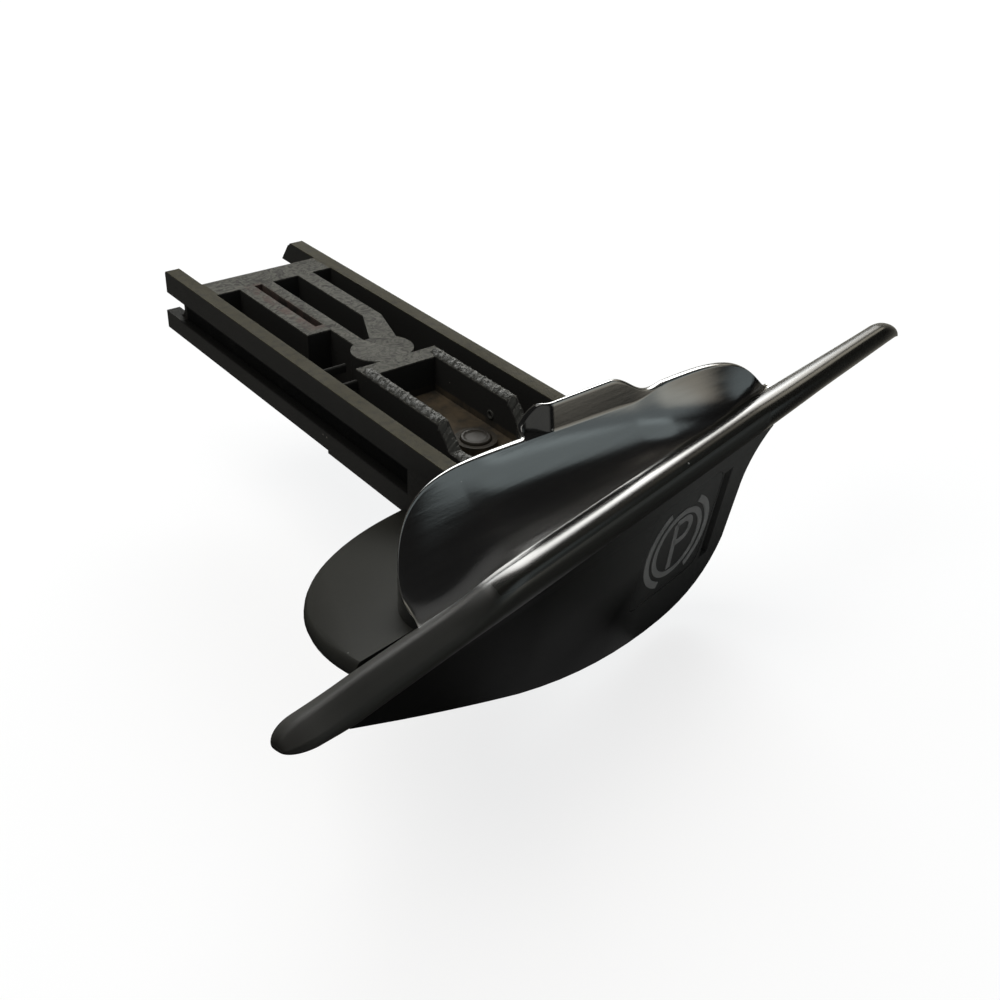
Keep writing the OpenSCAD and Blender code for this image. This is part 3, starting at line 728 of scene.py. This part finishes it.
# printed sign: a letter in a ring between two side arcs
sign = {
    "x": 16.5, "y": -11.45, "slant": 0.14, "proud": 0.06, "sunk": 0.2,
    "ring": 5.15, "stroke": 0.95, "ringSteps": 60,
    "arc": 6.8, "arcStroke": 1.08, "leftArc": (115.0, 244.0), "rightArc": (-61.0, 60.0), "arcSteps": 40,
    "letterLow": -4.2, "letterTop": 3.75, "letterLeft": -1.0, "letterStroke": 1.0, "letterSteps": 12,
    "bowl": 1.75, "bowlSteps": 20, "backSteps": 5,
}


def onSign(size, x, y, z):
    # across and up from the sign's middle, slanted with it and set on the face
    return onFace(np.stack(np.broadcast_arrays(size["x"] + x - size["slant"] * y, size["y"] + y, z), -1))


def inkSection(size, stroke):
    # a flat band's corners across its stroke, and their height over the plate
    across = np.array([-0.5, -0.5, 0.5, 0.5]) * stroke
    lift = np.array([-size["sunk"], size["proud"], size["proud"], -size["sunk"]])
    return across, lift


def bandSurface(size, radius, stroke, start, end, steps):
    # the band's section carried round a circle's arc
    a = np.radians(np.linspace(start, end, steps))[:, None]
    across, lift = inkSection(size, stroke)
    r = radius + across[None]
    return onSign(size, np.cos(a) * r, np.sin(a) * r, lift[None])


def strokeSurface(size, path, stroke):
    # the band's section carried along an open path in the face's plane
    along = np.gradient(path, axis=0)
    along = along / np.linalg.norm(along, axis=1, keepdims=True)
    normal = np.stack([-along[:, 1], along[:, 0]], -1)
    across, lift = inkSection(size, stroke)
    flat = path[:, None] + normal[:, None] * across[None, :, None]
    return onSign(size, flat[..., 0], flat[..., 1], lift[None])


def letterPaths(size):
    # stem of the letter upwards, then from its top round the bowl and back to the stem
    left, top, bowl = size["letterLeft"], size["letterTop"], size["bowl"]
    y = np.linspace(size["letterLow"], top, size["letterSteps"])
    up = np.stack(np.broadcast_arrays(left, y), -1)
    a = np.radians(np.linspace(90, -90, size["bowlSteps"]))
    turn = np.stack([left + bowl + bowl * np.cos(a), top - bowl + bowl * np.sin(a)], -1)
    x = left + bowl * np.linspace(1, 0, size["backSteps"])[1:]
    back = np.stack(np.broadcast_arrays(x, top - 2 * bowl), -1)
    return up, np.concatenate([[(left, top)], turn, back])


upStroke, bowlStroke = letterPaths(sign)
lastTurn = 360 - 360 / sign["ringSteps"]
ringBand = bandSurface(sign, sign["ring"], sign["stroke"], 0, lastTurn, sign["ringSteps"])
leftBand = bandSurface(sign, sign["arc"], sign["arcStroke"], *sign["leftArc"], sign["arcSteps"])
rightBand = bandSurface(sign, sign["arc"], sign["arcStroke"], *sign["rightArc"], sign["arcSteps"])
signParts = [
    skin("signRing", ringBand, closedU=True),
    skin("signArcLeft", leftBand),
    skin("signArcRight", rightBand),
    skin("signStem", strokeSurface(sign, upStroke, sign["letterStroke"])),
    skin("signBowl", strokeSurface(sign, bowlStroke, sign["letterStroke"])),
]
for part in signParts:
    place(part, None, signPrintInk)
print("sign made")

# screw in the stem's box: its head's radius and height over the seat, from the middle out and down
screw = {
    "x": 0.3, "y": -55.0, "seat": -4.2, "shank": 1.4, "long": 13.0, "tip": (1.2, 0.4), "core": 0.02,
    "steps": 64,
    "head": [(0.02, 0.12), (0.9, 0.12), (1.2, 0.13), (1.4, 0.16), (1.55, 0.24), (1.7, 0.3), (1.82, 0.3),
             (1.94, 0.26), (2.03, 0.18), (2.08, 0.1), (2.1, 0.0)],
}


def screwSurface(size):
    # outline of a nearly flush head with a raised rim and of a plain shank, turned round its axis
    tipRadius, tipHigh = size["tip"]
    shank = [(size["shank"], 0.0), (size["shank"], tipHigh - size["long"]), (tipRadius, -size["long"]),
             (size["core"], -size["long"])]
    r, z = np.array(size["head"] + shank).T[..., None]
    a = np.linspace(0, 2 * math.pi, size["steps"], endpoint=False)[None]
    x = size["x"] + r * np.cos(a)
    y = size["y"] + r * np.sin(a)
    return np.stack(np.broadcast_arrays(x, y, size["seat"] + z), -1)


screwBody = skin("screwBody", screwSurface(screw), sharp=35)
place(screwBody, "stem_screw", screwSteel)
print("screw made")

# floor and the light all round
stage = {
    "floorZ": -31.5, "floorHalf": 3000.0, "floorColour": (0.82, 0.82, 0.82, 1), "floorRough": 0.9,
    "floorGlow": 0.78, "ambient": 0.32, "ambientColour": (0.93, 0.97, 1.0, 1), "white": (1, 1, 1, 1),
}


def litByView(tree):
    # 1 for rays that the eye follows, straight or by gloss or glass
    path = addNode(tree, "ShaderNodeLightPath")
    first = calculate(tree, "MAXIMUM", path.outputs["Is Camera Ray"], path.outputs["Is Glossy Ray"])
    return calculate(tree, "MAXIMUM", first, path.outputs["Is Transmission Ray"])


def makeFloor(size):
    # pale square that takes the shadow and glows for the eye
    half = size["floorHalf"] * mm
    z = size["floorZ"] * mm
    corners = [(-half, -half, z), (half, -half, z), (half, half, z), (-half, half, z)]
    mesh = bpy.data.meshes.new("paleFloor")
    mesh.from_pydata(corners, [], [(0, 1, 2, 3)])
    floor = addObject("paleFloor", mesh)
    material = bpy.data.materials.new("paleFloor")
    material.use_nodes = True
    tree = material.node_tree
    shader = tree.nodes["Principled BSDF"]
    shader.inputs["Base Color"].default_value = size["floorColour"]
    shader.inputs["Roughness"].default_value = size["floorRough"]
    shader.inputs["Specular IOR Level"].default_value = 0.0
    glow = addNode(tree, "ShaderNodeEmission", {"Color": size["white"], "Strength": 1.0})
    share = calculate(tree, "MULTIPLY", litByView(tree), size["floorGlow"])
    mixed = addNode(tree, "ShaderNodeMixShader", None, {0: share, 1: shader.outputs[0], 2: glow.outputs[0]})
    tree.links.new(mixed.outputs[0], tree.nodes["Material Output"].inputs["Surface"])
    mesh.materials.append(material)


# tent that only gloss shows, with soft patches: turn from the back to the right, rise, spread and edge are
# in degrees
tent = {
    "radius": 1600.0, "middle": (0.0, -75.0, 0.0), "ground": -31.2, "base": (0.03, 0.0285, 0.0255),
    "turnSteps": 96, "riseSteps": 80, "riseFrom": -89.5, "riseTo": 89.0,
    "patches": [
        {"turn": 40.0, "rise": 33.0, "spread": 11.0, "edge": 7.0, "colour": (21.0, 20.5, 19.4)},
        {"turn": 56.0, "rise": 30.0, "spread": 8.0, "edge": 5.0, "colour": (12.0, 11.6, 10.8)},
        {"turn": 143.0, "rise": 12.0, "spread": 15.5, "edge": 4.0, "colour": (1.35, 1.56, 1.6)},
        {"turn": 130.0, "rise": 32.0, "spread": 13.0, "edge": 2.0, "colour": (1.7, 1.97, 2.0)},
        {"turn": 138.0, "rise": -2.0, "spread": 9.5, "edge": 5.0, "colour": (2.9, 2.72, 2.3)},
        {"turn": 85.0, "rise": 28.0, "spread": 8.0, "edge": 4.0, "colour": (4.2, 3.9, 3.2)},
        {"turn": 116.0, "rise": -12.0, "spread": 7.0, "edge": 4.0, "colour": (0.9, 1.05, 1.08)},
        {"turn": -157.0, "rise": -10.0, "spread": 24.0, "edge": 10.0, "colour": (0.7, 0.7, 0.66)},
        {"turn": 69.0, "rise": 60.0, "spread": 7.0, "edge": 4.0, "colour": (0.6, 0.6, 0.58)},
        {"turn": 34.0, "rise": 4.0, "spread": 50.0, "edge": 16.0, "colour": (0.42, 0.4, 0.34)},
    ],
}


def tentSurface(size):
    # a globe as a function of turn and rise, flat where it would go under the ground
    turn = np.linspace(0, 2 * math.pi, size["turnSteps"], endpoint=False)[None]
    rise = np.radians(np.linspace(size["riseFrom"], size["riseTo"], size["riseSteps"]))[:, None]
    x, y, z = np.cos(rise) * np.sin(turn), np.cos(rise) * np.cos(turn), np.sin(rise)
    grid = np.stack(np.broadcast_arrays(x, y, z), -1) * size["radius"] + np.array(size["middle"])
    grid[..., 2] = np.maximum(grid[..., 2], size["ground"])
    return grid


def addPatch(tree, way, patch):
    # the patch's colour where the way from the middle is near its aim
    turn = math.radians(patch["turn"])
    rise = math.radians(patch["rise"])
    aim = (math.cos(rise) * math.sin(turn), math.cos(rise) * math.cos(turn), math.sin(rise))
    near = addNode(tree, vectorMath, {1: aim}, {0: way}, operation="DOT_PRODUCT")
    low = math.cos(math.radians(patch["spread"] + patch["edge"]))
    high = math.cos(math.radians(max(0, patch["spread"] - patch["edge"])))
    mask = addNode(tree, "ShaderNodeMapRange", {"From Min": low, "From Max": high},
                   {"Value": near.outputs["Value"]}, interpolation_type="SMOOTHSTEP")
    return scaleColour(tree, patch["colour"], mask.outputs["Result"])


def makeTent(size):
    # the base colour and all patches summed, as light that gloss alone sees
    dome = skin("reflectTent", tentSurface(size), capped=False)
    dome.visible_camera = False
    dome.visible_diffuse = False
    dome.visible_shadow = False
    dome.visible_transmission = False
    material = bpy.data.materials.new("reflectTent")
    material.use_nodes = True
    tree = material.node_tree
    glow = addNode(tree, "ShaderNodeEmission")
    spot = addNode(tree, "ShaderNodeTexCoord").outputs["Object"]
    middle = tuple(k * mm for k in size["middle"])
    off = calculate(tree, "SUBTRACT", spot, middle, kind=vectorMath)
    way = calculate(tree, "NORMALIZE", off, kind=vectorMath)
    red, green, blue = size["base"]
    total = addNode(tree, "ShaderNodeCombineXYZ", {"X": red, "Y": green, "Z": blue}).outputs[0]
    for patch in size["patches"]:
        total = calculate(tree, "ADD", total, addPatch(tree, way, patch), kind=vectorMath)
    tree.links.new(total, glow.inputs["Color"])
    tree.links.new(glow.outputs[0], tree.nodes["Material Output"].inputs["Surface"])
    dome.data.materials.append(material)


def makeWorld(size):
    # soft light all round, and plain white where the eye sees it
    world = bpy.data.worlds.new("studio")
    bpy.context.scene.world = world
    world.use_nodes = True
    tree = world.node_tree
    soft = tree.nodes["Background"]
    soft.inputs["Color"].default_value = size["ambientColour"]
    soft.inputs["Strength"].default_value = size["ambient"]
    white = addNode(tree, "ShaderNodeBackground", {"Color": size["white"], "Strength": 1.0})
    mixed = addNode(tree, "ShaderNodeMixShader", None,
                    {0: litByView(tree), 1: soft.outputs[0], 2: white.outputs[0]})
    tree.links.new(mixed.outputs[0], tree.nodes["World Output"].inputs["Surface"])


# lamps, in metres and watts
lamps = [
    {"name": "windowBehind", "spot": (0.55, 0.65, 0.55), "aim": (0, -0.05, 0), "size": (0.7, 0.5),
     "power": 9.0, "colour": (0.92, 0.97, 1.0)},
    {"name": "softAbove", "spot": (-0.3, 0.1, 0.9), "aim": (0, -0.05, 0), "size": (0.7, 0.7),
     "power": 7.0, "colour": (1.0, 0.97, 0.92)},
]


def addLamp(lamp):
    # a rectangle of light that faces its aim
    data = bpy.data.lights.new(lamp["name"], "AREA")
    data.shape = "RECTANGLE"
    data.size, data.size_y = lamp["size"]
    data.energy = lamp["power"]
    data.color = lamp["colour"]
    light = addObject(lamp["name"], data)
    light.location = lamp["spot"]
    way = Vector(lamp["aim"]) - Vector(lamp["spot"])
    light.rotation_euler = way.to_track_quat("-Z", "Y").to_euler()


# camera at the photograph's viewing angle: place in millimetres, turn in degrees, focal length in pixels
view = {
    "spot": (-86.7, -166.4, 75.5), "turn": (57.79753, -1.94404, -38.14873),
    "focal": 1266.0, "pictureWide": 1000, "sensor": 36.0, "clipStart": 0.01,
}


def makeCamera(size):
    # a plain lens that gives the focal length over the picture's width
    data = bpy.data.cameras.new("photoView")
    data.sensor_width = size["sensor"]
    data.lens = size["focal"] / size["pictureWide"] * size["sensor"]
    data.clip_start = size["clipStart"]
    camera = addObject("photoView", data)
    turn = Euler([math.radians(k) for k in size["turn"]]).to_matrix().to_4x4()
    camera.matrix_world = Matrix.Translation(Vector(size["spot"]) * mm) @ turn
    bpy.context.scene.camera = camera


makeFloor(stage)
makeTent(tent)
makeWorld(stage)
for lamp in lamps:
    addLamp(lamp)
makeCamera(view)
bpy.context.scene.view_settings.view_transform = "Standard"
print("stage made")
